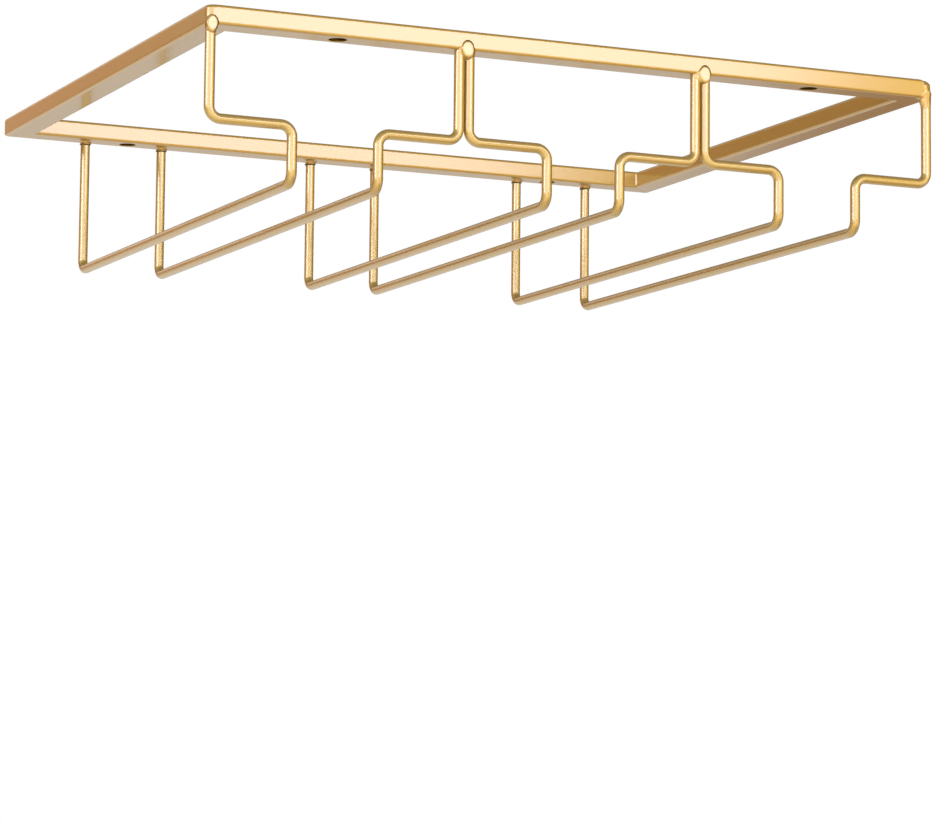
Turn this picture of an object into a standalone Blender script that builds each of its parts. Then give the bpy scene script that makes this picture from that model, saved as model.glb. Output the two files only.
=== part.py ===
"""A hanging stemware rack, which is screwed to the underside of a shelf or cabinet.

Four mitred steel tubes are welded into a flat frame. Six bent wires hang from it and make
three lanes. The two wires of a lane are its rails: a glass hangs on them by its foot, with
its stem between them. At the front each wire steps inwards, so a foot goes in above the
steps and then comes down behind them, where it can't slide out.

Metres, +Z up, front towards -Y. The origin is the middle of the rack's footprint, level
with the underside of the rails.
"""
import math

import bmesh
import bpy
from mathutils import Vector

OBJECT_NAME = "hanging_stemware_rack"

# Overall sizes, over the outer faces of the frame
FRAME_WIDTH = 0.330
FRAME_DEPTH = 0.268
RACK_HEIGHT = 0.070

# Frame tube, wider than it is tall
TUBE_WIDTH = 0.012
TUBE_HEIGHT = 0.008
TUBE_WALL = 0.0008
TUBE_EDGE_RADIUS = 0.0012
CORNER_RADIUS = 0.0015

# Screw holes, at each lane's middle: the screw head passes the lower wall and bears on the upper
HOLE_SPACING = 0.215
HEAD_HOLE_DIAMETER = 0.0075
SHANK_HOLE_DIAMETER = 0.0045

# Bent wire, measured at its axis
WIRE_DIAMETER = 0.0042
BEND_RADIUS = 0.0048
STEP_LENGTH = 0.035
STEP_DEPTH_BELOW_TOP = 0.045
PAIR_SPACING = 0.1075
SIDE_WIRE_INSET = 0.0021
FRONT_WIRE_INSET = 0.0024

# Weld metal
FRONT_WELD_PROUD = 0.0010
FRONT_WELD_SIDE = 0.0005
FRONT_WELD_HEIGHT = 0.0088
FRONT_WELD_DROP = 0.0010
REAR_WELD_REACH = 0.0013
REAR_WELD_HEIGHT = 0.0016
REAR_WELD_LIP = 0.0003
CORNER_WELD_LEG = 0.0018

# Gap between neighbouring pieces, and how far cutters run past what they cut
CLEARANCE = 0.0003
OVERRUN = 0.002
MERGE_DISTANCE = 0.00001

# Fineness of the round stretches
EDGE_SEGMENTS = 2
CORNER_SEGMENTS = 3
BEND_SEGMENTS = 6
WIRE_RESOLUTION = 4
HOLE_STEPS = 24
REAR_WELD_STEPS = 16
REAR_WELD_SEGMENTS = 3
FRONT_WELD_MERIDIANS = 20
FRONT_WELD_RINGS = 12
SHARP_ANGLE = math.radians(40)

# Colour, metallic value and roughness of each finish
FINISHES = {
    "frame_gold": ((0.72, 0.50, 0.25), 0.9, 0.38),
    "wire_gold": ((0.76, 0.55, 0.27), 0.9, 0.30),
    "weld_gold": ((0.70, 0.48, 0.23), 0.9, 0.42),
}

# Places that follow from the sizes
WIRE_RADIUS = WIRE_DIAMETER / 2
CLEAR_WIRE_RADIUS = WIRE_RADIUS + CLEARANCE
FRAME_FRONT = (FRONT_WELD_PROUD - FRAME_DEPTH) / 2
FRAME_BACK = FRAME_FRONT + FRAME_DEPTH
FRAME_MIDDLE = (FRAME_FRONT + FRAME_BACK) / 2
FRAME_UNDERSIDE = RACK_HEIGHT - TUBE_HEIGHT
TUBE_CENTRE_HEIGHT = RACK_HEIGHT - TUBE_HEIGHT / 2
FRONT_TUBE_AXIS = FRAME_FRONT + TUBE_WIDTH / 2
BACK_TUBE_AXIS = FRAME_BACK - TUBE_WIDTH / 2
FRONT_WIRE_AXIS = FRAME_FRONT + FRONT_WIRE_INSET
RAIL_HEIGHT = WIRE_RADIUS
STEP_HEIGHT = RACK_HEIGHT - STEP_DEPTH_BELOW_TOP
WIRE_TOP = FRAME_UNDERSIDE - CLEARANCE
SIDE_WIRE_X = FRAME_WIDTH / 2 - SIDE_WIRE_INSET
PAIR_HALF_SPACING = WIRE_RADIUS + CLEARANCE / 2


def clear_scene():
    for obj in list(bpy.data.objects):
        bpy.data.objects.remove(obj, do_unlink=True)


def new_collection(name):
    collection = bpy.data.collections.new(name)
    bpy.context.scene.collection.children.link(collection)
    return collection


def new_material(name):
    """A Principled material with the colour and shine of one finish."""
    colour, metallic, roughness = FINISHES[name]
    material = bpy.data.materials.new(name)
    material.use_nodes = True
    shader = material.node_tree.nodes["Principled BSDF"]
    shader.inputs["Base Color"].default_value = (*colour, 1)
    shader.inputs["Metallic"].default_value = metallic
    shader.inputs["Roughness"].default_value = roughness
    return material


def add_object(name, data, collection, material=None):
    obj = bpy.data.objects.new(name, data)
    collection.objects.link(obj)
    if material and not data.materials:
        data.materials.append(material)
    return obj


def add_cutter(name, data, cutters):
    """A guide object that only cuts others, shown as wire and never rendered."""
    cutter = add_object(name, data, cutters)
    cutter.hide_render = True
    cutter.display_type = "WIRE"
    return cutter


def cut(obj, cutter):
    modifier = obj.modifiers.new("cut_" + cutter.name, "BOOLEAN")
    modifier.operation = "DIFFERENCE"
    modifier.solver = "EXACT"
    modifier.object = cutter


def mesh_from(bm, name):
    mesh = bpy.data.meshes.new(name)
    bm.to_mesh(mesh)
    bm.free()
    mesh.shade_smooth()
    mesh.set_sharp_from_angle(angle=SHARP_ANGLE)
    return mesh


def rounded_bar(length, width, height, radius):
    """A box along X whose four long edges are rounded."""
    bm = bmesh.new()
    bmesh.ops.create_cube(bm, size=1)
    bmesh.ops.scale(bm, vec=(length, width, height), verts=bm.verts)
    long_edges = [e for e in bm.edges if e.verts[0].co.x * e.verts[1].co.x < 0]
    bmesh.ops.bevel(bm, geom=long_edges, offset=radius, segments=EDGE_SEGMENTS,
                    profile=0.5, affect="EDGES")
    return bm


def mitred_tube_mesh(name, length):
    """A hollow tube along X, outer side towards -Y, with both ends mitred and open."""
    bm = rounded_bar(length, TUBE_WIDTH, TUBE_HEIGHT, TUBE_EDGE_RADIUS)
    end_faces = [f for f in bm.faces if abs(f.normal.x) > abs(f.normal.y) + abs(f.normal.z)]
    bmesh.ops.delete(bm, geom=end_faces, context="FACES_ONLY")
    bmesh.ops.solidify(bm, geom=bm.faces[:], thickness=TUBE_WALL)
    setback = CLEARANCE / math.sqrt(2)
    for vert in bm.verts:
        reach = length / 2 - setback - (vert.co.y + TUBE_WIDTH / 2)
        vert.co.x = math.copysign(reach, vert.co.x)
    bmesh.ops.recalc_face_normals(bm, faces=bm.faces[:])
    return mesh_from(bm, name)


def prism_mesh(name, outline, height):
    """A flat outline made solid, half its height above and half below the outline's plane."""
    curve = bpy.data.curves.new(name, "CURVE")
    curve.dimensions = "2D"
    curve.fill_mode = "BOTH"
    curve.extrude = height / 2
    spline = curve.splines.new("POLY")
    spline.points.add(len(outline) - 1)
    for point, (x, y) in zip(spline.points, outline):
        point.co = (x, y, 0, 1)
    spline.use_cyclic_u = True
    holder = bpy.data.objects.new(name, curve)
    bpy.context.scene.collection.objects.link(holder)
    evaluated = holder.evaluated_get(bpy.context.evaluated_depsgraph_get())
    mesh = bpy.data.meshes.new_from_object(evaluated)
    mesh.name = name
    bpy.data.objects.remove(holder, do_unlink=True)
    bm = bmesh.new()
    bm.from_mesh(mesh)
    bmesh.ops.remove_doubles(bm, verts=bm.verts, dist=MERGE_DISTANCE)
    bmesh.ops.recalc_face_normals(bm, faces=bm.faces[:])
    bm.to_mesh(mesh)
    bm.free()
    return mesh


def quarter_arc(centre, radius, start_angle, segments):
    """Points of a quarter circle, counter-clockwise from start_angle."""
    angles = [start_angle + math.pi / 2 * i / segments for i in range(segments + 1)]
    return [(centre[0] + radius * math.cos(a), centre[1] + radius * math.sin(a)) for a in angles]


def turned_mesh(name, profile, closed):
    """The edges of a profile in the XZ plane, which a Screw modifier turns about Z."""
    mesh = bpy.data.meshes.new(name)
    vertices = [(radius, 0, height) for radius, height in profile]
    edges = [(i, i + 1) for i in range(len(profile) - 1)]
    if closed:
        edges.append((len(profile) - 1, 0))
    mesh.from_pydata(vertices, edges, [])
    return mesh


def turn(obj, steps):
    screw = obj.modifiers.new("turn", "SCREW")
    screw.axis = "Z"
    screw.steps = steps
    screw.render_steps = steps
    screw.use_merge_vertices = True
    screw.merge_threshold = MERGE_DISTANCE
    screw.use_smooth_shade = True


def corner_places():
    """Each frame corner: its name, the signs of its X and Y, and the turn that faces it inwards."""
    return [
        ("front_left", -1, -1, 0),
        ("front_right", 1, -1, math.pi / 2),
        ("back_right", 1, 1, math.pi),
        ("back_left", -1, 1, -math.pi / 2),
    ]


def make_corner_cutters(cutters):
    """What the rounding of each upright outer corner takes away."""
    outline = quarter_arc((CORNER_RADIUS, CORNER_RADIUS), CORNER_RADIUS, math.pi, CORNER_SEGMENTS)
    outline += [(CORNER_RADIUS, -OVERRUN), (-OVERRUN, -OVERRUN), (-OVERRUN, CORNER_RADIUS)]
    mesh = prism_mesh("corner_rounding", outline, TUBE_HEIGHT + OVERRUN)
    made = {}
    for name, side_x, side_y, turned in corner_places():
        cutter = add_cutter("rounding_" + name, mesh, cutters)
        cutter.location = (
            side_x * FRAME_WIDTH / 2,
            FRAME_MIDDLE + side_y * FRAME_DEPTH / 2,
            TUBE_CENTRE_HEIGHT,
        )
        cutter.rotation_euler.z = turned
        made[name] = cutter
    return made


def make_hole_cutters(cutters):
    """One stepped cutter for each screw: wide through the lower wall, narrow through the upper."""
    shank = SHANK_HOLE_DIAMETER / 2
    head = HEAD_HOLE_DIAMETER / 2
    top = TUBE_HEIGHT / 2 + OVERRUN
    profile = [(0, top), (shank, top), (shank, 0), (head, 0), (head, -top), (0, -top)]
    mesh = turned_mesh("screw_hole", profile, closed=False)
    made = {}
    for row, y in (("front", FRONT_TUBE_AXIS), ("back", BACK_TUBE_AXIS)):
        for side, side_x in (("left", -1), ("right", 1)):
            cutter = add_cutter(f"{row}_{side}_screw_hole", mesh, cutters)
            cutter.location = (side_x * HOLE_SPACING / 2, y, TUBE_CENTRE_HEIGHT)
            turn(cutter, HOLE_STEPS)
            made[row, side] = cutter
    return made


def make_frame(parts, cutters, material):
    """The four tubes: the front and back ones carry the screw holes and the wires."""
    roundings = make_corner_cutters(cutters)
    holes = make_hole_cutters(cutters)
    cross_mesh = mitred_tube_mesh("cross_tube", FRAME_WIDTH)
    side_mesh = mitred_tube_mesh("side_tube", FRAME_DEPTH)
    side_axis = (FRAME_WIDTH - TUBE_WIDTH) / 2
    places = [
        ("front", cross_mesh, (0, FRONT_TUBE_AXIS), 0),
        ("right", side_mesh, (side_axis, FRAME_MIDDLE), math.pi / 2),
        ("back", cross_mesh, (0, BACK_TUBE_AXIS), math.pi),
        ("left", side_mesh, (-side_axis, FRAME_MIDDLE), -math.pi / 2),
    ]
    for side, mesh, (x, y), turned in places:
        tube = add_object(side + "_tube", mesh, parts, material)
        tube.location = (x, y, TUBE_CENTRE_HEIGHT)
        tube.rotation_euler.z = turned
        for corner, cutter in roundings.items():
            if side in corner:
                cut(tube, cutter)
        for (row, _), cutter in holes.items():
            if row == side:
                cut(tube, cutter)


def bent_route(corners):
    """The straight runs between the corners, joined by bends of BEND_RADIUS."""
    points = [corners[0]]
    for before, corner, after in zip(corners, corners[1:], corners[2:]):
        incoming = (corner - before).normalized()
        outgoing = (after - corner).normalized()
        centre = corner + BEND_RADIUS * (outgoing - incoming)
        for i in range(BEND_SEGMENTS + 1):
            angle = math.pi / 2 * i / BEND_SEGMENTS
            swing = incoming * math.sin(angle) - outgoing * math.cos(angle)
            points.append(centre + BEND_RADIUS * swing)
    points.append(corners[-1])
    return points


def wire_curve(name, side):
    """One wire from its top at the front: down, sideways by a step, down, back and up."""
    step = side * STEP_LENGTH
    to_step = STEP_HEIGHT - WIRE_TOP
    to_rail = RAIL_HEIGHT - WIRE_TOP
    length = BACK_TUBE_AXIS - FRONT_WIRE_AXIS
    corners = [
        Vector((0, 0, 0)),
        Vector((0, 0, to_step)),
        Vector((step, 0, to_step)),
        Vector((step, 0, to_rail)),
        Vector((step, length, to_rail)),
        Vector((step, length, 0)),
    ]
    points = bent_route(corners)
    curve = bpy.data.curves.new(name, "CURVE")
    curve.dimensions = "3D"
    curve.bevel_depth = WIRE_RADIUS
    curve.bevel_resolution = WIRE_RESOLUTION
    curve.use_fill_caps = True
    spline = curve.splines.new("POLY")
    spline.points.add(len(points) - 1)
    for spline_point, point in zip(spline.points, points):
        spline_point.co = (*point, 1)
    spline.use_smooth = True
    return curve


def wire_places():
    """Each wire: its lane, its side of the lane, the X of its top and the way that it steps."""
    outer = SIDE_WIRE_X
    past_pair = PAIR_SPACING / 2 + PAIR_HALF_SPACING
    before_pair = PAIR_SPACING / 2 - PAIR_HALF_SPACING
    return [
        ("left_lane", "left", -outer, 1),
        ("left_lane", "right", -past_pair, -1),
        ("middle_lane", "left", -before_pair, 1),
        ("middle_lane", "right", before_pair, -1),
        ("right_lane", "left", past_pair, 1),
        ("right_lane", "right", outer, -1),
    ]


def make_wires(parts, material):
    curves = {1: wire_curve("wire_stepping_right", 1), -1: wire_curve("wire_stepping_left", -1)}
    for lane, side, x, step_way in wire_places():
        wire = add_object(f"{lane}_{side}_wire", curves[step_way], parts, material)
        wire.location = (x, FRONT_WIRE_AXIS, WIRE_TOP)


def make_front_weld_cutters(cutters):
    """The front tube and each wire's top, grown by the clearance."""
    grown = 2 * CLEARANCE
    bm = rounded_bar(FRAME_WIDTH + grown, TUBE_WIDTH + grown, TUBE_HEIGHT + grown,
                     TUBE_EDGE_RADIUS + CLEARANCE)
    tube_cutter = add_cutter("front_tube_clearance", mesh_from(bm, "tube_clearance"), cutters)
    tube_cutter.location = (0, FRONT_TUBE_AXIS, TUBE_CENTRE_HEIGHT)
    bm = bmesh.new()
    bmesh.ops.create_cone(bm, cap_ends=True, segments=HOLE_STEPS, radius1=CLEAR_WIRE_RADIUS,
                          radius2=CLEAR_WIRE_RADIUS, depth=2 * FRONT_WELD_HEIGHT)
    mesh = mesh_from(bm, "wire_clearance")
    wire_cutters = {}
    for lane, side, x, _ in wire_places():
        cutter = add_cutter(f"{lane}_{side}_wire_clearance", mesh, cutters)
        cutter.location = (x, FRONT_WIRE_AXIS, FRAME_UNDERSIDE - FRONT_WELD_HEIGHT + CLEARANCE)
        wire_cutters[x] = cutter
    return tube_cutter, wire_cutters


def make_front_welds(parts, cutters, material):
    """Beads that lap from the front tube's face on to the wires, one for each wire or pair."""
    tube_cutter, wire_cutters = make_front_weld_cutters(cutters)
    depth = FRONT_WELD_PROUD + FRONT_WIRE_INSET
    wire_xs = [x for _, _, x, _ in wire_places()]
    groups = [
        ("left", wire_xs[:1]),
        ("left_middle", wire_xs[1:3]),
        ("right_middle", wire_xs[3:5]),
        ("right", wire_xs[5:]),
    ]
    for name, xs in groups:
        width = max(xs) - min(xs) + WIRE_DIAMETER + 2 * FRONT_WELD_SIDE
        bm = bmesh.new()
        bmesh.ops.create_uvsphere(bm, u_segments=FRONT_WELD_MERIDIANS,
                                  v_segments=FRONT_WELD_RINGS, radius=0.5)
        bmesh.ops.scale(bm, vec=(width, depth, FRONT_WELD_HEIGHT), verts=bm.verts)
        bead = add_object(f"front_{name}_weld", mesh_from(bm, name + "_bead"), parts, material)
        bead.location = (
            (max(xs) + min(xs)) / 2,
            FRONT_WIRE_AXIS - depth / 2,
            FRAME_UNDERSIDE - FRONT_WELD_DROP,
        )
        cut(bead, tube_cutter)
        for x in xs:
            cut(bead, wire_cutters[x])


def make_rear_welds(parts, material):
    """A hollow-cornered ring of weld metal round the top of each wire at the back."""
    inner = CLEAR_WIRE_RADIUS
    lip = inner + REAR_WELD_LIP
    profile = [(inner, 0)]
    for i in range(REAR_WELD_SEGMENTS + 1):
        angle = math.pi / 2 * i / REAR_WELD_SEGMENTS
        radius = lip + (REAR_WELD_REACH - REAR_WELD_LIP) * (1 - math.sin(angle))
        profile.append((radius, -REAR_WELD_HEIGHT * (1 - math.cos(angle))))
    profile.append((inner, -REAR_WELD_HEIGHT))
    mesh = turned_mesh("rear_weld", profile, closed=True)
    for lane, side, x, step_way in wire_places():
        ring = add_object(f"{lane}_{side}_rear_weld", mesh, parts, material)
        ring.location = (x + step_way * STEP_LENGTH, BACK_TUBE_AXIS, WIRE_TOP)
        turn(ring, REAR_WELD_STEPS)


def make_corner_welds(parts, material):
    """A hollow-faced fillet in each upright inner corner of the frame."""
    leg = CLEARANCE + CORNER_WELD_LEG
    arc = quarter_arc((leg, leg), CORNER_WELD_LEG, math.pi, CORNER_SEGMENTS)
    outline = [(CLEARANCE, CLEARANCE)] + arc[::-1]
    mesh = prism_mesh("corner_weld", outline, TUBE_HEIGHT - 2 * TUBE_EDGE_RADIUS)
    for name, side_x, side_y, turned in corner_places():
        fillet = add_object(name + "_corner_weld", mesh, parts, material)
        fillet.location = (
            side_x * (FRAME_WIDTH / 2 - TUBE_WIDTH),
            FRAME_MIDDLE + side_y * (FRAME_DEPTH / 2 - TUBE_WIDTH),
            TUBE_CENTRE_HEIGHT,
        )
        fillet.rotation_euler.z = turned


def main():
    clear_scene()
    parts = new_collection(OBJECT_NAME)
    cutters = new_collection(OBJECT_NAME + "_cutters")
    make_frame(parts, cutters, new_material("frame_gold"))
    make_wires(parts, new_material("wire_gold"))
    weld = new_material("weld_gold")
    make_front_welds(parts, cutters, weld)
    make_rear_welds(parts, weld)
    make_corner_welds(parts, weld)


main()
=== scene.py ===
"""The looks of a hanging stemware rack: gold-painted tube frame, bent wire rails and their welds.

Shapes are worked out in millimetres and go into the meshes in metres. +Z is up and the
front of the rack is towards -Y. The origin is the middle of the rack's footprint, level
with the underside of the rails.
"""

import math
from functools import partial

import bmesh
import bpy
import numpy as np
from mathutils import Matrix, Vector


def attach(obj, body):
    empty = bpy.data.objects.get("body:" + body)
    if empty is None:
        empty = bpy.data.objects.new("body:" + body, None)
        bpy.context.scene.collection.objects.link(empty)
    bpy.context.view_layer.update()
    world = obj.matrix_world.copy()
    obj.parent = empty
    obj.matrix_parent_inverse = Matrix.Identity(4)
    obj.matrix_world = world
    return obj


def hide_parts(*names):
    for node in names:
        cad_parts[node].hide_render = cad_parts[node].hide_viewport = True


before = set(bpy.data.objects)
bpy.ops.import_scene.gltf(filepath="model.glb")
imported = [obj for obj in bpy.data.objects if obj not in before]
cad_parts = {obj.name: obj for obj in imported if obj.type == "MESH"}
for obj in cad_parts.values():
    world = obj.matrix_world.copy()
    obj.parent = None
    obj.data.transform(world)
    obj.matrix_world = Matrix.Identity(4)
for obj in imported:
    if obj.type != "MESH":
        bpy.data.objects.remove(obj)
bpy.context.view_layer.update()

MM = 0.001

# Frame, as in the CAD
FRAME_WIDTH = 330.0
FRAME_DEPTH = 268.0
FRAME_MIDDLE = 0.5
FRAME_FRONT = FRAME_MIDDLE - FRAME_DEPTH / 2
TUBE_WIDTH = 12.0
TUBE_HEIGHT = 8.0
TUBE_WALL = 0.8
EDGE_RADIUS = 1.2
UNDERSIDE = 62.0
TUBE_CENTRE = UNDERSIDE + TUBE_HEIGHT / 2
FRONT_TUBE_AXIS = FRAME_FRONT + TUBE_WIDTH / 2
BACK_TUBE_AXIS = FRAME_FRONT + FRAME_DEPTH - TUBE_WIDTH / 2

# Frame corners: the radius in plan and the radius of the outer edges, which eases back to
# the straight run's within the blend
FRONT_LEFT_CORNER = (2.9, 1.45)
FRONT_RIGHT_CORNER = (3.0, 2.7)
BACK_CORNER = (1.4, 1.2)
CORNER_BLEND = 2.4
INNER_CORNER_RADIUS = 0.25
SEAM_DEPTH = 0.03

# Rows of points: how many on a tube's straight run, how far the first stands from the
# blend, how near a second row stands to an edge to keep the flat beside it flat, and how
# little a quad rises that counts as level
RUN_STATIONS = 9
RUN_GAP = 4.0
SUPPORT = 0.06
LEVEL = 1e-6

# Screw holes
HOLE_X = 107.5
HEAD_HOLE_RADIUS = 3.75
SHANK_HOLE_RADIUS = 2.25
HOLE_EDGE = 0.15
HOLE_SIDE_CELLS = 8

# Wires, at their axes. A wire's top is its place across and the way of its step.
WIRE_RADIUS = 2.1
BEND_RADIUS = 4.8
STEP_LENGTH = 35.0
STEP_HEIGHT = 25.0
RAIL_HEIGHT = 2.1
FRONT_WIRE_AXIS = -131.1
WIRE_TOPS = {
    "left_lane_left": (-162.9, 1),
    "left_lane_right": (-56.0, -1),
    "middle_lane_left": (-51.5, 1),
    "middle_lane_right": (51.5, -1),
    "right_lane_left": (56.0, 1),
    "right_lane_right": (162.9, -1),
}
ROUND_POINTS = 32
BEND_POINTS = 14

# Weld metal
WELD_SKIN = 0.08
BISECTIONS = 36
RIPPLE_HEIGHT = 0.03
REACH_BLEND = 0.25
EGG_BLEND = 0.9

# Flat ovals on three front beads: the middle across and up, half the width, half the
# height, how far the face stands proud and the width of the rolled rim
OVALS = {
    "left": (-162.9, 62.3, 2.4, 3.5, 0.6, 0.75),
    "left_middle": (-53.3, 62.55, 2.75, 3.65, 0.85, 0.7),
    "right_middle": (54.8, 62.3, 2.75, 3.8, 0.8, 0.8),
}
OVAL_DEPTH = 2.0

# Ridge on the front right bead: its two ends and the radius at each
RIDGE_TOP = ((161.5, -132.2, 67.2), 1.7)
RIDGE_FOOT = ((162.9, FRONT_WIRE_AXIS, 58.2), 2.12)

# Collars under the back tube
COLLAR_WEB = 1.5
COLLAR_LIP_HEIGHT = 60.55
COLLAR_LIP_SLOPE = 0.1
COLLAR_LIP_RADIUS = 0.5
COLLAR_REACH = (3.6, 3.5, 2.9)
COLLAR_LEAN = 0.3

# Fillets in the frame's inner corners
FILLET_LEG = 0.62
FILLET_GAP = 0.55
FILLET_LEVELS = 33

# Paint: patterns in repeats per metre, and painted shade along creases in the weld metal.
# Painted shade darkens an oval's rim on the side that lies this way, across and up, near this
# share of its radius. A band of painted shadow under the collars is at this height in metres.
FLAKE_SCALE = 2400.0
GRAIN_SCALE = 3600.0
PEEL_SCALE = 700.0
DRIFT_SCALE = 28.0
PAINTED_SHADE_COLOUR = (0.08, 0.06, 0.012, 1)
PAINTED_SHADE_SHARE = 0.9
SHADED_RIM_SIDES = {"left": (1.0, 0.05), "left_middle": (0.6, 0.8), "right_middle": (0.7, 0.7)}
RIM_MIDDLE = 0.9
RIM_WIDTH = 0.42
COLLAR_SHADOW_HEIGHT = 0.0600

# Camera, in degrees, millimetres of lens and metres
CAMERA_YAW = 24.27
CAMERA_PITCH = 6.39
CAMERA_ROLL = 0.56
CAMERA_LENS = 140.8
CAMERA_PLACE = (-0.648, -1.4555, -0.247)

# Studio, in metres. A wall level is an angle in degrees and a colour.
LAMP_AIM = (0, -0.13, 0.066)
WORLD_LIGHT = 0.45
FLOOR_HEIGHT = -0.95
FLOOR_REACH = 12.0
WALL_RADIUS = 4.0
WALL_STRENGTH = 2.0
WALL_LEVELS = [
    (-180, 0.18, 0.15, 0.13),
    (-163, 0.52, 0.30, 0.22),
    (-158, 0.44, 0.21, 0.11),
    (-154, 0.10, 0.03, 0.03),
    (-136, 0.08, 0.02, 0.02),
    (-118, 0.36, 0.17, 0.11),
    (-106, 0.65, 0.56, 0.47),
    (-97, 0.25, 0.22, 0.19),
    (-82, 0.25, 0.23, 0.21),
    (-68, 1.20, 1.20, 1.16),
    (-24, 1.40, 1.40, 1.36),
    (10, 0.50, 0.50, 0.48),
    (30, 0.36, 0.31, 0.12),
    (40, 1.60, 1.20, 0.34),
    (54, 1.40, 1.05, 0.30),
    (66, 0.10, 0.09, 0.07),
    (90, 0.05, 0.04, 0.03),
    (152, 0.12, 0.10, 0.08),
    (180, 0.18, 0.15, 0.13),
]
CEILING_COLOUR = (0.16, 0.155, 0.14, 1)
GLOW_COLOUR = (0.66, 0.54, 0.45, 1)

MERGE_DISTANCE = 0.000001


def grid_quads(rows, columns, closed=False):
    """Quads between neighbouring rows and columns of a grid of points, wrapped round if closed."""
    index = np.arange(rows * columns).reshape(rows, columns)
    if closed:
        index = np.concatenate([index, index[:, :1]], axis=1)
    quads = np.stack([index[:-1, :-1], index[:-1, 1:], index[1:, 1:], index[1:, :-1]], axis=-1)
    return quads.reshape(-1, 4)


def mesh_piece(name, grids):
    """One object from grids of points in mm, each with its quads, joined where they touch."""
    points = []
    quads = []
    count = 0
    for grid, faces in grids:
        points.append(grid.reshape(-1, 3))
        quads.append(faces + count)
        count += grid.size // 3
    mesh = bpy.data.meshes.new(name)
    mesh.from_pydata((np.concatenate(points) * MM).tolist(), [], np.concatenate(quads).tolist())
    bm = bmesh.new()
    bm.from_mesh(mesh)
    bmesh.ops.remove_doubles(bm, verts=bm.verts, dist=MERGE_DISTANCE)
    bmesh.ops.dissolve_degenerate(bm, edges=bm.edges, dist=MERGE_DISTANCE)
    bmesh.ops.recalc_face_normals(bm, faces=bm.faces)
    bm.to_mesh(mesh)
    bm.free()
    mesh.shade_smooth()
    obj = bpy.data.objects.new(name, mesh)
    bpy.context.scene.collection.objects.link(obj)
    return obj


def finish_piece(obj, material, node):
    """Paints a piece, hides the CAD node that it stands for and fixes it to the rack."""
    obj.data.materials.append(material)
    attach(obj, "root")
    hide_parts(node)


def section_outline(outer_edge):
    """The tube's section and its outward directions, for each outer edge radius given.

    Points run along the underside from the outer side inwards, up the inner side, back
    along the top and down the outer side, with a quarter circle at each corner. The two
    corners on the outer side have the given radius and the two on the inner side their own.
    """
    edge = outer_edge[:, None]
    count = len(outer_edge)
    across = np.full((count, 1), TUBE_WIDTH - EDGE_RADIUS)
    steps = np.linspace(edge[:, 0] + SUPPORT, across[:, 0] - SUPPORT, HOLE_SIDE_CELLS + 1, axis=1)
    flat = np.concatenate([edge, steps, across], axis=1)
    share = np.array([0, 0, 0.5, 1, 1])
    inset = np.array([0, SUPPORT, 0, -SUPPORT, 0])
    inner_rise = EDGE_RADIUS + share * (TUBE_HEIGHT - 2 * EDGE_RADIUS) + inset
    outer_rise = edge + share * (TUBE_HEIGHT - 2 * edge) + inset
    turn = np.radians(np.linspace(0, 90, 7))[1:-1]
    inner = np.full((count, 1), EDGE_RADIUS)
    sides = [
        (flat, 0, -90, across, inner, inner),
        (TUBE_WIDTH, inner_rise, 0, across, TUBE_HEIGHT - inner, inner),
        (flat[:, ::-1], TUBE_HEIGHT, 90, edge, TUBE_HEIGHT - edge, edge),
        (0, outer_rise[:, ::-1], 180, edge, edge, edge),
    ]
    offsets = []
    heights = []
    headings = []
    for x, y, facing, corner_x, corner_y, radius in sides:
        x, y = np.broadcast_arrays(x, y)
        x = np.broadcast_to(x, (count, x.shape[-1]))
        y = np.broadcast_to(y, x.shape)
        angles = math.radians(facing) + turn
        offsets += [x, corner_x + radius * np.cos(angles)]
        heights += [y, corner_y + radius * np.sin(angles)]
        headings += [np.full(x.shape[1], math.radians(facing)), angles]
    heading = np.concatenate(headings)
    directions = np.stack([np.cos(heading), np.sin(heading)], axis=-1)
    return np.concatenate(offsets, axis=1), np.concatenate(heights, axis=1), directions


def smooth_share(value):
    """Eases from 0 to 1 as a value goes from 0 to 1."""
    held = np.clip(value, 0, 1)
    return held * held * (3 - 2 * held)


def tube_skin(length, stations, inset, corners):
    """Carries the section along a tube that is mitred at both ends.

    stations is (side, share of the corner's turn, distance back from the corner, place).
    On the straight run a point keeps its offset from the outer face. In a corner it follows
    an arc, to the mitre plane at 45 degrees. The arc's radius falls from the outer to the
    inner side. corners is the outer arc's radius and the outer edge radius at the left and
    the right end. The edge radius eases back to the straight run's within a short way.
    inset is how far each station's section lies inside the outline.
    """
    side, share, back, place = stations.T
    plan, edge = np.array(corners, float).T
    ending = (side > 0).astype(int)
    near = np.where(side == 0, 0, smooth_share(1 - back / CORNER_BLEND))
    outer_edge = EDGE_RADIUS + near * (edge[ending] - EDGE_RADIUS)
    offset, height, direction = section_outline(outer_edge)
    offset = offset - inset[:, None] * direction[:, 0]
    height = height - inset[:, None] * direction[:, 1]
    outer_radius = plan[ending][:, None]
    rounding = outer_radius + (INNER_CORNER_RADIUS - outer_radius) * offset / TUBE_WIDTH
    turned = np.radians(45) * share[:, None]
    reach = length / 2 - offset - rounding * (1 - np.sin(turned)) - back[:, None]
    along = np.where(side[:, None] == 0, place[:, None], side[:, None] * reach)
    away = offset + rounding * (1 - np.cos(turned))
    return np.stack([along, away, height], axis=-1)


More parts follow.
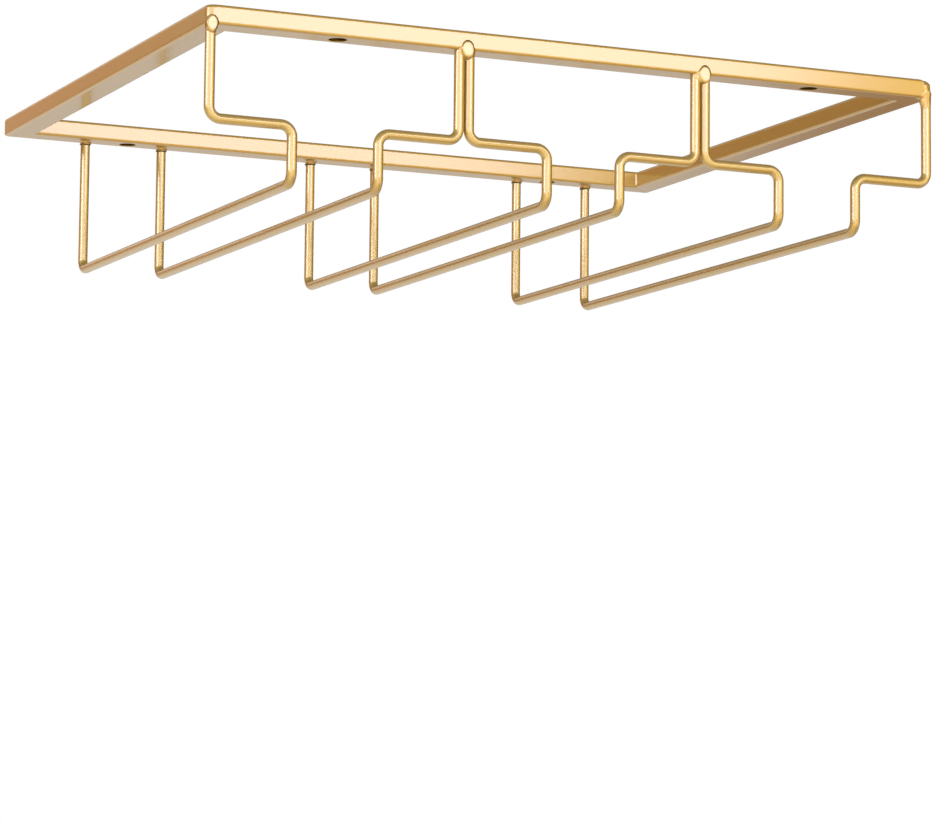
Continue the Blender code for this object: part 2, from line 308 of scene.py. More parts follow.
def tube_stations(length, holes):
    """Places along a tube: round both corners, and close together beside each hole."""
    shares = np.array([1, 0.9, 0.75, 0.6, 0.45, 0.3, 0.15, 0, 0, 0, 0, 0, 0, 0])
    back = np.array([0, 0, 0, 0, 0, 0, 0, 0, SUPPORT, 0.4, 0.8, 1.2, 1.8, CORNER_BLEND])
    half = length / 2 - TUBE_WIDTH - CORNER_BLEND - RUN_GAP
    hole_half = TUBE_WIDTH / 2 - EDGE_RADIUS - SUPPORT
    straight = [np.linspace(-half, half, RUN_STATIONS)]
    for hole in holes:
        around = np.linspace(hole - hole_half, hole + hole_half, HOLE_SIDE_CELLS + 1)
        straight = [run[abs(run - hole) > hole_half + 1] for run in straight] + [around]
    run = np.unique(np.round(np.concatenate(straight), 9))
    none = np.zeros(run.size)
    left = np.stack([np.full(shares.size, -1), shares, back, np.zeros(shares.size)], axis=-1)
    middle = np.stack([none, none, none, run], axis=-1)
    right = left[::-1] * [-1, 1, 1, 1]
    return np.concatenate([left, middle, right])


def hole_wall(hole, radius, outer_height, inner_height):
    """A screw hole through one wall, carried from a square cell out to a circle and back.

    Rings of 32 points blend from the square on the outer skin to the hole's circle, roll
    over its edge on a quarter circle, run through the wall and blend out to the square on
    the inner skin.
    """
    count = 4 * HOLE_SIDE_CELLS
    k = np.arange(count)
    quarter = np.round(k / HOLE_SIDE_CELLS)
    along_side = (k - HOLE_SIDE_CELLS * quarter) / (HOLE_SIDE_CELLS / 2)
    turn = quarter * np.pi / 2
    square = np.stack([
        np.cos(turn) - along_side * np.sin(turn),
        np.sin(turn) + along_side * np.cos(turn),
    ], axis=-1) * (TUBE_WIDTH / 2 - EDGE_RADIUS - SUPPORT)
    angle = k * 2 * np.pi / count
    circle = np.stack([np.cos(angle), np.sin(angle)], axis=-1)
    way = np.sign(inner_height - outer_height)
    rings = []
    for blend in (0, 0.35, 0.65, 0.85, 1):
        ring = (1 - blend) * square + blend * (radius + HOLE_EDGE) * circle
        rings.append((ring, outer_height))
    for step in (0.33, 0.67, 1):
        roll = step * np.pi / 2
        ring_radius = radius + HOLE_EDGE * (1 - math.sin(roll))
        rings.append((ring_radius * circle, outer_height + way * HOLE_EDGE * (1 - math.cos(roll))))
    for blend in (1, 0.5, 0):
        rings.append(((1 - blend) * square + blend * radius * circle, inner_height))
    centre = np.array([hole, TUBE_WIDTH / 2])
    grid = np.stack([
        np.concatenate([ring + centre, np.full((count, 1), height)], axis=1)
        for ring, height in rings
    ])
    return grid, grid_quads(len(rings), count, closed=True)


def without_cells(quads, points, hole):
    """Leaves out the quads of a skin that lie in a hole's square cell, on the top and underside."""
    middle = points.reshape(-1, 3)[quads].mean(axis=1)
    half = TUBE_WIDTH / 2 - EDGE_RADIUS - SUPPORT
    heights = points.reshape(-1, 3)[quads][:, :, 2]
    level = np.ptp(heights, axis=1) < LEVEL
    inside = (abs(middle[:, 0] - hole) < half) & (abs(middle[:, 1] - TUBE_WIDTH / 2) < half)
    return quads[~(level & inside)]


def tube_grids(length, holes, corners):
    """A hollow tube's outer and inner skins, its end faces and its screw holes."""
    stations = tube_stations(length, holes)
    seam = np.zeros(len(stations))
    seam[[0, -1]] = SEAM_DEPTH
    outer = tube_skin(length, stations, seam, corners)
    inner = tube_skin(length, stations, np.full(len(stations), TUBE_WALL), corners)
    rows, columns = outer.shape[:2]
    grids = []
    for skin in (outer, inner):
        quads = grid_quads(rows, columns, closed=True)
        for hole in holes:
            quads = without_cells(quads, skin, hole)
        grids.append((skin, quads))
    for end in (0, -1):
        rim = np.stack([outer[end], inner[end]])
        grids.append((rim, grid_quads(2, columns, closed=True)))
    for hole in holes:
        grids.append(hole_wall(hole, HEAD_HOLE_RADIUS, 0, TUBE_WALL))
        grids.append(hole_wall(hole, SHANK_HOLE_RADIUS, TUBE_HEIGHT, TUBE_HEIGHT - TUBE_WALL))
    return grids


def make_tubes(material):
    """The four tubes. Each is worked out along X and then turned to its side of the frame."""
    sides = [
        ("front", FRAME_WIDTH, FRAME_DEPTH, (FRONT_LEFT_CORNER, FRONT_RIGHT_CORNER), 0),
        ("right", FRAME_DEPTH, FRAME_WIDTH, (FRONT_RIGHT_CORNER, BACK_CORNER), 90),
        ("back", FRAME_WIDTH, FRAME_DEPTH, (BACK_CORNER, BACK_CORNER), 180),
        ("left", FRAME_DEPTH, FRAME_WIDTH, (BACK_CORNER, FRONT_LEFT_CORNER), 270),
    ]
    for name, length, span, corners, turned in sides:
        holes = (-HOLE_X, HOLE_X) if length == FRAME_WIDTH else ()
        cosine = round(math.cos(math.radians(turned)))
        sine = round(math.sin(math.radians(turned)))
        placed = []
        for grid, quads in tube_grids(length, holes, corners):
            along = grid[..., 0]
            away = grid[..., 1] - span / 2
            x = cosine * along - sine * away
            y = sine * along + cosine * away + FRAME_MIDDLE
            placed.append((np.stack([x, y, grid[..., 2] + UNDERSIDE], axis=-1), quads))
        tube = mesh_piece(f"painted_{name}_tube", placed)
        finish_piece(tube, material, f"{name}_tube")


def bent_line(corners, sideways):
    """Centre points, tangents and cross directions of a line that bends in one plane.

    corners are joined by straight runs and quarter-circle bends. Each bend's centre lies
    one bend radius back along the way in and on along the way out. sideways is square to
    the plane of the bends.
    """
    turn = np.radians(np.linspace(0, 90, BEND_POINTS))[:, None]
    first = (corners[1] - corners[0]) / np.linalg.norm(corners[1] - corners[0])
    last = (corners[-1] - corners[-2]) / np.linalg.norm(corners[-1] - corners[-2])
    points = [corners[:1], corners[:1] + SUPPORT * first]
    ways = [first[None], first[None]]
    for before, corner, after in zip(corners, corners[1:], corners[2:]):
        way_in = (corner - before) / np.linalg.norm(corner - before)
        way_out = (after - corner) / np.linalg.norm(after - corner)
        centre = corner + BEND_RADIUS * (way_out - way_in)
        arc = centre + BEND_RADIUS * (way_in * np.sin(turn) - way_out * np.cos(turn))
        arc_way = way_in * np.cos(turn) + way_out * np.sin(turn)
        points += [arc[:1] - SUPPORT * way_in, arc, arc[-1:] + SUPPORT * way_out]
        ways += [way_in[None], arc_way, way_out[None]]
    points += [corners[-1:] - SUPPORT * last, corners[-1:]]
    ways += [last[None], last[None]]
    points = np.concatenate(points)
    ways = np.concatenate(ways)
    across = np.cross(np.array(sideways, float), ways)
    return points, across, np.tile(np.array(sideways, float), (len(points), 1))


def round_bar(points, across, sideways):
    """A circle of the wire's radius carried along a line of points."""
    angle = 2 * np.pi * np.arange(ROUND_POINTS) / ROUND_POINTS
    ring = np.cos(angle)[:, None] * across[:, None] + np.sin(angle)[:, None] * sideways[:, None]
    return points[:, None] + WIRE_RADIUS * ring


def cap(ring):
    """A flat end: the ring drawn in to its middle."""
    middle = ring.mean(axis=0)
    shares = np.array([1, 0.5, 0])[:, None, None]
    return middle + shares * (ring - middle)


def wire_grids(x, step_way):
    """One wire: down from the front tube, a step inwards, down, back as a rail and up."""
    step_x = x + step_way * STEP_LENGTH
    front = FRONT_WIRE_AXIS
    meeting = (STEP_HEIGHT + RAIL_HEIGHT) / 2
    hanging = np.array([
        (x, front, UNDERSIDE),
        (x, front, STEP_HEIGHT),
        (step_x, front, STEP_HEIGHT),
        (step_x, front, meeting),
    ])
    rail = np.array([
        (step_x, front, meeting),
        (step_x, front, RAIL_HEIGHT),
        (step_x, BACK_TUBE_AXIS, RAIL_HEIGHT),
        (step_x, BACK_TUBE_AXIS, UNDERSIDE),
    ])
    upper = round_bar(*bent_line(hanging, (0, 1, 0)))
    lower = round_bar(*bent_line(rail, (1, 0, 0)))
    grids = [(part, grid_quads(*part.shape[:2], closed=True)) for part in (upper, lower)]
    for ring in (upper[0], lower[-1]):
        end = cap(ring)
        grids.append((end, grid_quads(*end.shape[:2], closed=True)))
    return grids


def make_wires(material):
    """The six wires, a left and a right one for each lane."""
    for name, (x, step_way) in WIRE_TOPS.items():
        wire = mesh_piece(f"bent_{name}_wire", wire_grids(x, step_way))
        finish_piece(wire, material, f"{name}_wire")


def soft_least(first, second, blend):
    """The lesser of two distances, with a hollow of about the blend's width where they meet."""
    share = np.clip(0.5 + 0.5 * (second - first) / blend, 0, 1)
    return second + (first - second) * share - blend * share * (1 - share)


def soft_most(first, second, blend):
    """The greater of two distances, rounded off over about the blend's width."""
    return -soft_least(-first, -second, blend)


def from_tube(point, axis):
    """Distance from the front or the back tube, less the weld's skin.

    The plan distance is the greater of the distance from the frame's outline, a rectangle
    with rounded corners, and the distance from the tube's two long faces. The edge radius
    changes towards the corners as the tube's own does.
    """
    x, y, z = point[..., 0], point[..., 1], point[..., 2]
    ends = (FRONT_LEFT_CORNER, FRONT_RIGHT_CORNER) if axis < 0 else (BACK_CORNER, BACK_CORNER)
    corner, widest = (np.where(x < 0, left, right) for left, right in zip(*ends))
    past_x = abs(x) - (FRAME_WIDTH / 2 - corner)
    past_y = abs(y - FRAME_MIDDLE) - (FRAME_DEPTH / 2 - corner)
    outline = np.hypot(np.maximum(past_x, 0), np.maximum(past_y, 0)) - corner
    outline = outline + np.minimum(np.maximum(past_x, past_y), 0)
    plan = np.maximum(outline, abs(y - axis) - TUBE_WIDTH / 2)
    edge = EDGE_RADIUS + smooth_share(1 + past_x / CORNER_BLEND) * (widest - EDGE_RADIUS)
    past_plan = plan + edge
    past_z = abs(z - TUBE_CENTRE) - (TUBE_HEIGHT / 2 - edge)
    outside = np.hypot(np.maximum(past_plan, 0), np.maximum(past_z, 0))
    inside = np.minimum(np.maximum(past_plan, past_z), 0)
    return outside + inside - edge - WELD_SKIN


def from_wire(x, y, wire_x, wire_y):
    """Distance from an upright wire, less the weld's skin."""
    return np.hypot(x - wire_x, y - wire_y) - WIRE_RADIUS - WELD_SKIN


def from_egg(point, centre, radii):
    """Roughly the distance from an egg shape with the given half sizes."""
    radii = np.array(radii, float)
    stretched = np.linalg.norm((point - np.array(centre, float)) / radii, axis=-1)
    return (stretched - 1) * radii.min()


def weld_surface(distance, centre, far, rings, spokes):
    """A closed skin round a centre, out to where a distance turns from minus to plus.

    Along each direction, given by its angle from straight up and its angle round, the
    place is found by halving the stretch that holds it, for the whole grid at once.
    """
    polar = np.linspace(0, np.pi, rings)[:, None]
    around = 2 * np.pi * np.arange(spokes) / spokes
    direction = np.stack([
        np.sin(polar) * np.cos(around),
        np.sin(polar) * np.sin(around),
        np.broadcast_to(np.cos(polar), (rings, spokes)),
    ], axis=-1)
    centre = np.array(centre, float)
    near = np.zeros((rings, spokes))
    limit = np.full((rings, spokes), float(far))
    for _ in range(BISECTIONS):
        middle = (near + limit) / 2
        inside = distance(centre + middle[..., None] * direction) < 0
        near = np.where(inside, middle, near)
        limit = np.where(inside, limit, middle)
    grid = centre + near[..., None] * direction
    return [(grid, grid_quads(rings, spokes, closed=True))]


def from_oval(point, oval):
    """Distance from a flat-faced oval of weld metal that stands proud of the front tube."""
    centre_x, centre_z, half_width, half_height, proud, roll = oval
    x, y, z = point[..., 0], point[..., 1], point[..., 2]
    stretched = np.hypot((x - centre_x) / half_width, (z - centre_z) / half_height)
    rim = (stretched - 1) * min(half_width, half_height)
    face = FRAME_FRONT - proud - y
    return np.maximum(soft_most(rim, face, roll), y - FRAME_FRONT - OVAL_DEPTH)


def from_ridge(point):
    """Distance from a bar with round ends whose radius grows evenly from its top to its foot."""
    top, top_radius = RIDGE_TOP
    foot, foot_radius = RIDGE_FOOT
    run = np.array(foot) - np.array(top)
    beside = point - np.array(top)
    share = np.clip((beside @ run) / (run @ run), 0, 1)
    radius = top_radius + share * (foot_radius - top_radius)
    return np.linalg.norm(beside - share[..., None] * run, axis=-1) - radius


def front_weld(wires, web, reach_centre, reach, eggs, cover, crease):
    """The distance from a dressed bead, whose parts run together where they meet.

    Tube and wires are joined by a web near their joint, within an egg-shaped reach and with
    a fine ripple. Smaller eggs fill out the sides, and a flat oval or a ridge covers the
    joint, with a crease round it.
    """
    def distance(point):
        x, y, z = point[..., 0], point[..., 1], point[..., 2]
        joint = from_tube(point, FRONT_TUBE_AXIS)
        for wire_x in wires:
            joint = soft_least(joint, from_wire(x, y, wire_x, FRONT_WIRE_AXIS), web)
        ripple = RIPPLE_HEIGHT * np.sin(2.3 * x + 1.1 * z) * np.sin(1.7 * z - 0.8 * x)
        joint = soft_most(joint + ripple, from_egg(point, reach_centre, reach), REACH_BLEND)
        for centre, radii in eggs:
            joint = soft_least(joint, from_egg(point, centre, radii), EGG_BLEND)
        return soft_least(joint, cover(point), crease)
    return distance


def make_front_welds(material):
    """Each bead has its own form: an oval on the left wire and over each pair, a ridge on the right."""
    left = WIRE_TOPS["left_lane_left"][0]
    left_pair = (WIRE_TOPS["left_lane_right"][0], WIRE_TOPS["middle_lane_left"][0])
    right_pair = (WIRE_TOPS["middle_lane_right"][0], WIRE_TOPS["right_lane_left"][0])
    right = WIRE_TOPS["right_lane_right"][0]
    front = FRONT_WIRE_AXIS
    ovals = {name: partial(from_oval, oval=oval) for name, oval in OVALS.items()}
    beads = {
        "left": front_weld(
            (left,), 0.7, (left + 0.25, front - 1.0, 62.0), (2.85, 2.45, 3.5),
            [], ovals["left"], 0.9,
        ),
        "left_middle": front_weld(
            left_pair, 0.6, (sum(left_pair) / 2 + 0.4, front, 61.6), (4.6, 3.4, 3.0),
            [((left_pair[1] - 1.2, front - 0.7, 60.6), (2.5, 2.0, 2.7))],
            ovals["left_middle"], 0.9,
        ),
        "right_middle": front_weld(
            right_pair, 0.6, (sum(right_pair) / 2 + 0.4, front, 61.6), (4.6, 3.4, 3.1),
            [((right_pair[0] + 1.7, front - 0.6, 60.4), (2.3, 1.8, 2.1))],
            ovals["right_middle"], 0.9,
        ),
        "right": front_weld(
            (right,), 1.2, (right - 0.9, front, 62.0), (3.6, 3.4, 5.0),
            [
                ((right + 0.1, front + 0.5, 63.4), (1.9, 2.0, 4.4)),
                ((right - 1.6, front - 0.2, 61.2), (1.7, 1.6, 2.3)),
            ], from_ridge, 0.25,
        ),
    }
    middles = {
        "left": left,
        "left_middle": sum(left_pair) / 2,
        "right_middle": sum(right_pair) / 2,
        "right": right,
    }
    for name, distance in beads.items():
        middle = (middles[name], front - 0.9, UNDERSIDE - 0.2)
        grids = weld_surface(distance, middle, far=8, rings=80, spokes=112)
        bead = mesh_piece(f"dressed_front_{name}_weld", grids)
        finish_piece(bead, material, f"front_{name}_weld")


def make_rear_welds(material):
    """A collar round each wire's top at the back.

    Tube and wire run together and are cut off by an egg, which leans a little to one side
    or the other, and a ring that slopes down to the left rolls the lower edge.
    """
    for number, (name, (x, step_way)) in enumerate(WIRE_TOPS.items()):
        wire_x = x + step_way * STEP_LENGTH
        lean = COLLAR_LEAN * math.sin(2.1 * number + 0.6)

        def distance(point, wire_x=wire_x, lean=lean):
            x, y, z = point[..., 0], point[..., 1], point[..., 2]
            tube = from_tube(point, BACK_TUBE_AXIS)
            wire = from_wire(x, y, wire_x, BACK_TUBE_AXIS)
            joined = soft_least(tube, wire, COLLAR_WEB)
            above_lip = z - COLLAR_LIP_HEIGHT - COLLAR_LIP_SLOPE * (x - wire_x)
            joined = soft_least(joined, np.hypot(wire, above_lip) - COLLAR_LIP_RADIUS, 0.15)
            end = from_egg(point, (wire_x + lean, BACK_TUBE_AXIS - 0.2, 62.2), COLLAR_REACH)
            return soft_most(joined, end, 0.2)

        middle = (wire_x, BACK_TUBE_AXIS, UNDERSIDE - 0.4)
        grids = weld_surface(distance, middle, far=6, rings=56, spokes=64)
        ring = mesh_piece(f"dressed_{name}_rear_weld", grids)
        finish_piece(ring, material, f"{name}_rear_weld")


def make_corner_welds(material):
    """A hollow-faced fillet up each inner corner of the frame.

    The fillet's face is a quarter circle between the two tube faces. Its leg swells and
    thins a little with height and closes to nothing at both ends.
    """
    rise = np.linspace(-1, 1, FILLET_LEVELS)
    height = TUBE_CENTRE + rise * (TUBE_HEIGHT / 2 - FILLET_GAP)
    swell = 1 + 0.02 * np.sin(5 * rise)
    leg = (FILLET_LEG * swell * np.sqrt(np.clip(1 - abs(rise) ** 6, 0, 1)))[:, None]
    turn = np.radians(np.linspace(0, 90, 11))
    buried = np.full((FILLET_LEVELS, 1), -WELD_SKIN)
    x = np.concatenate([leg * (1 - np.sin(turn)), buried], axis=1)
    y = np.concatenate([leg * (1 - np.cos(turn)), buried], axis=1)
    z = np.broadcast_to(height[:, None], x.shape)
    for name, side_x, side_y in (
        ("front_left", -1, -1),
        ("front_right", 1, -1),
        ("back_right", 1, 1),
        ("back_left", -1, 1),
    ):
        corner_x = side_x * (FRAME_WIDTH / 2 - TUBE_WIDTH)
        corner_y = FRAME_MIDDLE + side_y * (FRAME_DEPTH / 2 - TUBE_WIDTH)
        grid = np.stack([corner_x - side_x * x, corner_y - side_y * y, z], axis=-1)
        grids = [(grid, grid_quads(*grid.shape[:2], closed=True))]
        for ring in (grid[0], grid[-1]):
            end = cap(ring)
            grids.append((end, grid_quads(*end.shape[:2], closed=True)))
        fillet = mesh_piece(f"dressed_{name}_corner_weld", grids)
        finish_piece(fillet, material, f"{name}_corner_weld")


class Signal:
    """One output of a shader node. Arithmetic on it adds Math nodes to the same tree."""

    def __init__(self, recipe, socket):
        self.recipe = recipe
        self.socket = socket

    def maths(self, operation, first, second):
        return self.recipe.maths(operation, first, second)

    def __add__(self, other):
        return self.maths("ADD", self, other)

    def __radd__(self, other):
        return self.maths("ADD", other, self)

    def __sub__(self, other):
        return self.maths("SUBTRACT", self, other)

    def __rsub__(self, other):
        return self.maths("SUBTRACT", other, self)

    def __mul__(self, other):
        return self.maths("MULTIPLY", self, other)

    def __rmul__(self, other):
        return self.maths("MULTIPLY", other, self)

    def most(self, other):
        return self.maths("MAXIMUM", self, other)


class Recipe:
    """The nodes of one material or of the world."""

    def __init__(self, owner):
        owner.use_nodes = True
        self.nodes = owner.node_tree.nodes
        self.links = owner.node_tree.links
        self.nodes.clear()

    def add(self, kind, settings=None, sockets=None, output=0):
        """Adds a node, sets its settings, then gives its sockets values or links."""
        node = self.nodes.new(kind)
        for name, value in (settings or {}).items():
            if name == "stops":
                ramp = node.color_ramp.elements
                while len(ramp) < len(value):
                    ramp.new(1)
                for element, (position, colour) in zip(ramp, value):
                    element.position = position
                    element.color = (*colour, 1)
            else:
                setattr(node, name, value)
        for key, value in (sockets or {}).items():
            if isinstance(value, Signal):
                self.links.new(value.socket, node.inputs[key])
            else:
                node.inputs[key].default_value = value
        return Signal(self, node.outputs[output]) if node.outputs else None

    def mix(self, share, first, second, blend="MIX"):
        """A colour between two colours, or their product."""
        colours = {0: share, 6: first, 7: second}
        settings = {"data_type": "RGBA", "blend_type": blend}
        return self.add("ShaderNodeMix", settings, colours, output=2)

    def maths(self, operation, first, second):
        return self.add("ShaderNodeMath", {"operation": operation}, {0: first, 1: second})

    def ease(self, value, start, stop, first, last):
        """Eases from one level to another as a value goes from start to stop."""
        return self.add("ShaderNodeMapRange", {"interpolation_type": "SMOOTHSTEP"}, {
            "Value": value, "From Min": start, "From Max": stop, "To Min": first, "To Max": last,
        })

    def dot(self, place, direction):
        sockets = {0: place, 1: direction}
        return self.add("ShaderNodeVectorMath", {"operation": "DOT_PRODUCT"}, sockets, output=1)

    def rim(self, place, direction, centre_x, centre_z, half_width, half_height):
        """1 along the part of an oval's rim that lies in a direction and 0 elsewhere, in mm."""
        across = (self.dot(place, (1000, 0, 0)) - centre_x) * (1 / half_width)
        rise = (self.dot(place, (0, 0, 1000)) - centre_z) * (1 / half_height)
        radius = self.maths("SQRT", across * across + rise * rise, 0.0)
        from_rim = self.maths("ABSOLUTE", radius - RIM_MIDDLE, 0.0)
        part = self.ease(direction[0] * across + direction[1] * rise, 0.0, 0.6, 0, 1)
        return self.ease(from_rim, 0.0, RIM_WIDTH, 1, 0) * part

    def noise(self, place, scale, detail=2.0):
        sockets = {"Vector": place, "Scale": scale, "Detail": detail}
        return self.add("ShaderNodeTexNoise", None, sockets)


def gold_paint(name, deep, bright, roughness, coat_roughness, coat_ior, with_painted_shade=False):
    """Satin gold paint: metal flakes of about 0.4 mm under a clear coat, a little uneven.

    The colour runs from deep to bright with a fine grain and a slow drift over some
    centimetres, and a little further away from each flake's middle. Roughness follows the
    grain and the drift, and height follows an orange peel and the grain. Paint with painted
    shade is dull and dark along a part of each front oval's rim, which is painted shade, and
    in a band under the rear collars, which is a painted shadow.
    """
    material = bpy.data.materials.new(name)
    recipe = Recipe(material)
    place = recipe.add("ShaderNodeTexCoord", output=3)
    flakes = recipe.add("ShaderNodeTexVoronoi", None, {"Vector": place, "Scale": FLAKE_SCALE})
    grain = recipe.noise(place, GRAIN_SCALE)
    drift = recipe.noise(place, DRIFT_SCALE, 3.0)
    peel = recipe.noise(place, PEEL_SCALE, 3.0)
    base = recipe.mix(0.35 * grain + 0.65 * drift, (*deep, 1), (*bright, 1))
    colour = recipe.mix(0.12 * flakes, base, (*bright, 1))
    coat = 1.0
    if with_painted_shade:
        # Painted shade: dark, dull paint on one side of each front oval's rim
        across = recipe.dot(place, (0, 1, 0))
        height = recipe.dot(place, (0, 0, 1))
        shaded_rims = [recipe.rim(place, way, *OVALS[bead][:4]) for bead, way in SHADED_RIM_SIDES.items()]
        rim = shaded_rims[0] + shaded_rims[1] + shaded_rims[2]
        on_face = recipe.ease(across, -0.1328, -0.1322, 1, 0)
        # Painted shadow: a dark band round each wire just under the rear collars
        from_collar_shadow = recipe.maths("ABSOLUTE", height - COLLAR_SHADOW_HEIGHT, 0.0)
        at_back = recipe.ease(across, 0, 0.1, 0, 1)
        collar_shadow = recipe.ease(from_collar_shadow, 0.0002, 0.0007, 1, 0) * at_back
        # The painted shade and the painted shadow darken the colour and take off the coat
        crease = PAINTED_SHADE_SHARE * (rim * on_face).most(collar_shadow)
        colour = recipe.mix(crease, colour, PAINTED_SHADE_COLOUR)
        coat = 1.0 - crease
    rough = roughness + 0.06 * (grain - 0.5) + 0.06 * (drift - 0.5)
    bump = recipe.add("ShaderNodeBump", None, {
        "Strength": 0.08, "Distance": 0.00006, "Height": peel + 0.1 * grain,
    })
    shader = recipe.add("ShaderNodeBsdfPrincipled", None, {
        "Base Color": colour,
        "Metallic": 0.85,
        "Roughness": rough,
        "Normal": bump,
        "Coat Weight": coat,
        "Coat Roughness": coat_roughness,
        "Coat IOR": coat_ior,
    })
    recipe.add("ShaderNodeOutputMaterial", None, {"Surface": shader})
    return material


def make_camera():
    """The photograph's view: from low down at the front left, through a long lens."""
    yaw, pitch, roll = np.radians([CAMERA_YAW, CAMERA_PITCH, CAMERA_ROLL]).tolist()
    level_right = Vector((math.cos(yaw), -math.sin(yaw), 0))
    level_ahead = Vector((math.sin(yaw), math.cos(yaw), 0))
    up = Vector((0, 0, 1))
    ahead = level_ahead * math.cos(pitch) + up * math.sin(pitch)
    raised = up * math.cos(pitch) - level_ahead * math.sin(pitch)
    right = level_right * math.cos(roll) + raised * math.sin(roll)
    top = raised * math.cos(roll) - level_right * math.sin(roll)
    data = bpy.data.cameras.new("camera")
    data.sensor_width = 36
    data.lens = CAMERA_LENS
    data.clip_start = 0.05
    data.clip_end = 50
    camera = bpy.data.objects.new("camera", data)
    turn = Matrix((right, top, -ahead)).transposed().to_4x4()
    camera.matrix_world = Matrix.Translation(CAMERA_PLACE) @ turn
    bpy.context.scene.collection.objects.link(camera)
    bpy.context.scene.camera = camera


def plain_sheet(name, points, material):
    """A stage sheet of four corners."""
    mesh = bpy.data.meshes.new(name)
    mesh.from_pydata(points, [], [(0, 1, 2, 3)])
    mesh.materials.append(material)
    obj = bpy.data.objects.new(name, mesh)
    bpy.context.scene.collection.objects.link(obj)


def make_floor():
    """A wide pale floor, far enough below for the rack to hang above it.

    Only what mirrors of it is tinted. away and right are metres from the rack's middle, as
    the camera looks. The floor mirrors brightest and golden towards the camera, darker at
    the near left and far behind, brown in a patch below on the right and red-brown behind
    on the right.
    """
    material = bpy.data.materials.new("pale_floor")
    recipe = Recipe(material)
    place = recipe.add("ShaderNodeTexCoord", output=3)
    away = recipe.dot(place, (0.411, 0.912, 0))
    right = recipe.dot(place, (0.912, -0.411, 0))
    towards = recipe.ease(away, -2.5, -0.3, 2.1, 1.1)
    behind = recipe.ease(away, 3.6, 5.2, 0, -0.35)
    near_left = recipe.ease(right, -3.0, -1.0, 0.7, 0) * recipe.ease(away, -0.6, 0.6, 1, 0)
    level = (towards + behind) * (1 - near_left)
    golden = recipe.ease(away, -1.0, 1.0, 1, 0)
    tint = recipe.mix(golden, (1, 0.94, 0.87, 1), (1, 0.86, 0.58, 1))
    tinted = recipe.mix(1.0, level, tint, "MULTIPLY")
    patch_away = recipe.ease(away, -1.6, -0.8, 0, 1) * recipe.ease(away, 0.4, 1.2, 1, 0)
    patch_right = recipe.ease(right, 0.4, 0.85, 0, 0.8) * recipe.ease(right, 1.3, 2.0, 1, 0)
    patched = recipe.mix(patch_away * patch_right, tinted, (0.42, 0.24, 0.08, 1))
    behind_right = recipe.ease(right, 0.45, 0.68, 0, 1) * recipe.ease(away, 1.0, 3.0, 0, 1)
    mirrored = recipe.mix(behind_right, patched, (0.26, 0.12, 0.07, 1))
    lit = recipe.add("ShaderNodeBsdfDiffuse", None, {"Color": (0.86, 0.86, 0.86, 1)})
    white = recipe.add("ShaderNodeEmission", None, {"Color": (1, 1, 1, 1), "Strength": 1.0})
    backdrop = recipe.add("ShaderNodeEmission", None, {"Color": mirrored, "Strength": 1.0})
    seen = recipe.add("ShaderNodeLightPath")
    glossy = recipe.add("ShaderNodeLightPath", output=3)
    shown = recipe.add("ShaderNodeMixShader", None, {0: 0.6 * seen, 1: lit, 2: white})
    both = recipe.add("ShaderNodeMixShader", None, {0: glossy, 1: shown, 2: backdrop})
    recipe.add("ShaderNodeOutputMaterial", None, {"Surface": both})
    signs = [(-1, -1), (1, -1), (1, 1), (-1, 1)]
    corners = [(FLOOR_REACH * x, FLOOR_REACH * y, FLOOR_HEIGHT) for x, y in signs]
    plain_sheet("floor", corners, material)


def make_world():
    """White to the camera and to mirrored or transmitted rays, and a soft light on the rack."""
    world = bpy.data.worlds.new("studio")
    bpy.context.scene.world = world
    recipe = Recipe(world)
    path = {}
    for number, kind in ((0, "camera"), (3, "glossy"), (6, "transmission")):
        path[kind] = recipe.add("ShaderNodeLightPath", output=number)
    shown = path["camera"].most(path["glossy"]).most(path["transmission"])
    plain = (1, 1, 1, 1)
    soft = recipe.add("ShaderNodeBackground", None, {"Color": plain, "Strength": WORLD_LIGHT})
    white = recipe.add("ShaderNodeBackground", None, {"Color": plain, "Strength": 1.0})
    both = recipe.add("ShaderNodeMixShader", None, {0: shown, 1: soft, 2: white})
    recipe.add("ShaderNodeOutputWorld", None, {"Surface": both})


def softbox(name, place, size, radiance, colour=(1, 1, 1)):
    """A rectangular lamp that faces the front tube.

    Its power is its radiance times pi times its area.
    """
    data = bpy.data.lights.new(name, "AREA")
    data.shape = "RECTANGLE"
    data.size, data.size_y = size
    data.energy = radiance * math.pi * size[0] * size[1]
    data.color = colour
    lamp = bpy.data.objects.new(name, data)
    lamp.location = place
    lamp.rotation_euler = (Vector(LAMP_AIM) - Vector(place)).to_track_quat("-Z", "Y").to_euler()
    lamp.visible_camera = False
    bpy.context.scene.collection.objects.link(lamp)


def make_lamps():
    """Two low strips, one to the right of the camera and one to the left of the rack."""
    softbox("right_strip", (0.34, -1.46, 0.37), (0.97, 0.25), 4.95, (1, 1, 1.1))
    softbox("left_strip", (-1.52, -0.34, 0.37), (0.80, 0.28), 7.0)


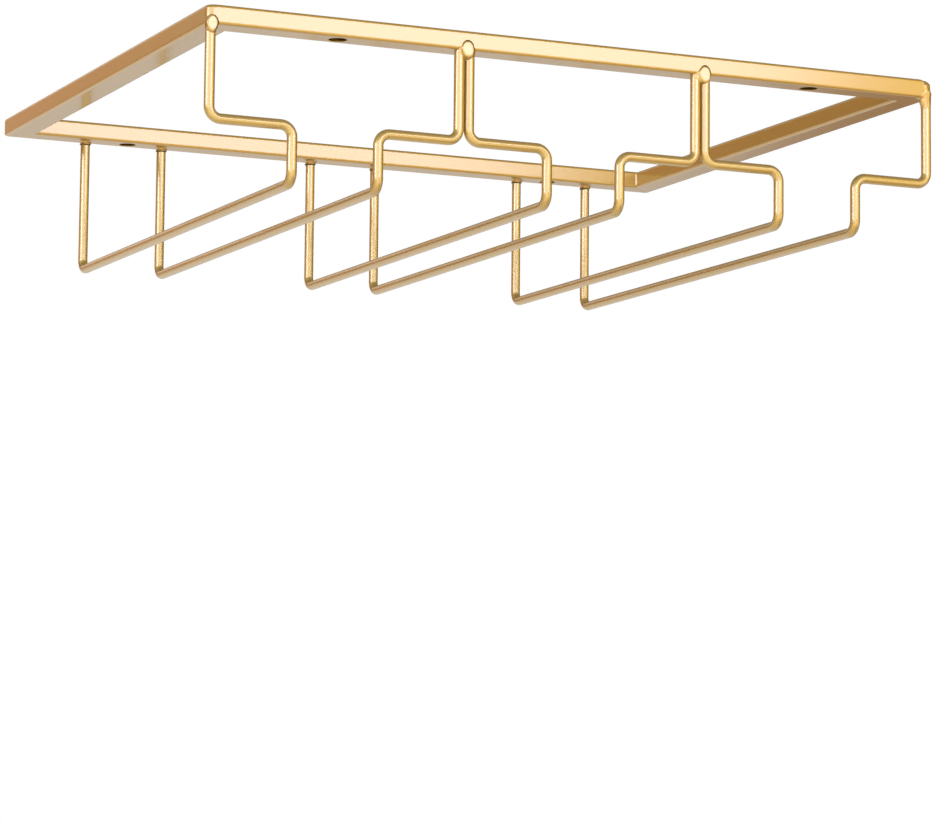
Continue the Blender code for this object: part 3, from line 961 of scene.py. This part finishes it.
def make_walls():
    """A dome of studio walls that only reflections see.

    Their colour is set by the angle round the rack: minus a half turn and a half turn are
    behind it, minus a quarter turn is to its left, 0 is in front and a quarter turn is to
    its right. They are white at the front left, golden at the front right, reddish behind
    on the left and dim elsewhere, and fade to a dim ceiling. A glow lies high up behind,
    from the middle to a little left of it.
    """
    material = bpy.data.materials.new("studio_wall")
    recipe = Recipe(material)
    place = recipe.add("ShaderNodeTexCoord", output=3)
    right = recipe.dot(place, (1, 0, 0))
    front = recipe.dot(place, (0, -1, 0))
    height = recipe.dot(place, (0, 0, 1))
    turn = recipe.maths("ARCTAN2", right, front) * (0.5 / math.pi) + 0.5
    stops = [((degrees + 180) / 360, colour) for degrees, *colour in WALL_LEVELS]
    wall = recipe.add("ShaderNodeValToRGB", {"stops": stops}, {0: turn})
    glow = recipe.ease(height, 0.85, 1.2, 0, 1) * recipe.ease(turn, 0.06, 0.09, 1, 0)
    glowing = recipe.mix(glow, wall, GLOW_COLOUR)
    ceiling = 1 - recipe.ease(height, 1.3, 2.2, 1, 0)
    shade = recipe.mix(ceiling, glowing, CEILING_COLOUR)
    shining = recipe.add("ShaderNodeEmission", None, {"Color": shade, "Strength": WALL_STRENGTH})
    recipe.add("ShaderNodeOutputMaterial", None, {"Surface": shining})
    around = np.radians(np.linspace(0, 360, 49))
    lift = np.radians(np.linspace(-3, 90, 24))[:, None]
    grid = WALL_RADIUS * np.stack([
        np.cos(lift) * np.sin(around),
        np.cos(lift) * np.cos(around),
        np.broadcast_to(np.sin(lift), (24, 49)),
    ], axis=-1)
    mesh = bpy.data.meshes.new("studio_walls")
    mesh.from_pydata(grid.reshape(-1, 3).tolist(), [], grid_quads(24, 49).tolist())
    mesh.materials.append(material)
    walls = bpy.data.objects.new("studio_walls", mesh)
    walls.visible_camera = False
    walls.visible_diffuse = False
    walls.visible_shadow = False
    walls.visible_transmission = False
    bpy.context.scene.collection.objects.link(walls)


frame_paint = gold_paint("frame_paint", (0.53, 0.32, 0.04), (0.61, 0.385, 0.065), 0.62, 0.17, 1.95)
wire_paint = gold_paint("wire_paint", (0.52, 0.345, 0.075), (0.60, 0.41, 0.11), 0.58, 0.15, 1.98)
weld_paint = gold_paint("weld_paint", (0.53, 0.325, 0.065), (0.61, 0.40, 0.11), 0.55, 0.14, 1.9, True)

make_tubes(frame_paint)
make_wires(wire_paint)
make_front_welds(weld_paint)
make_rear_welds(weld_paint)
make_corner_welds(weld_paint)

make_camera()
make_floor()
make_world()
make_lamps()
make_walls()
bpy.context.scene.view_settings.view_transform = "Standard"
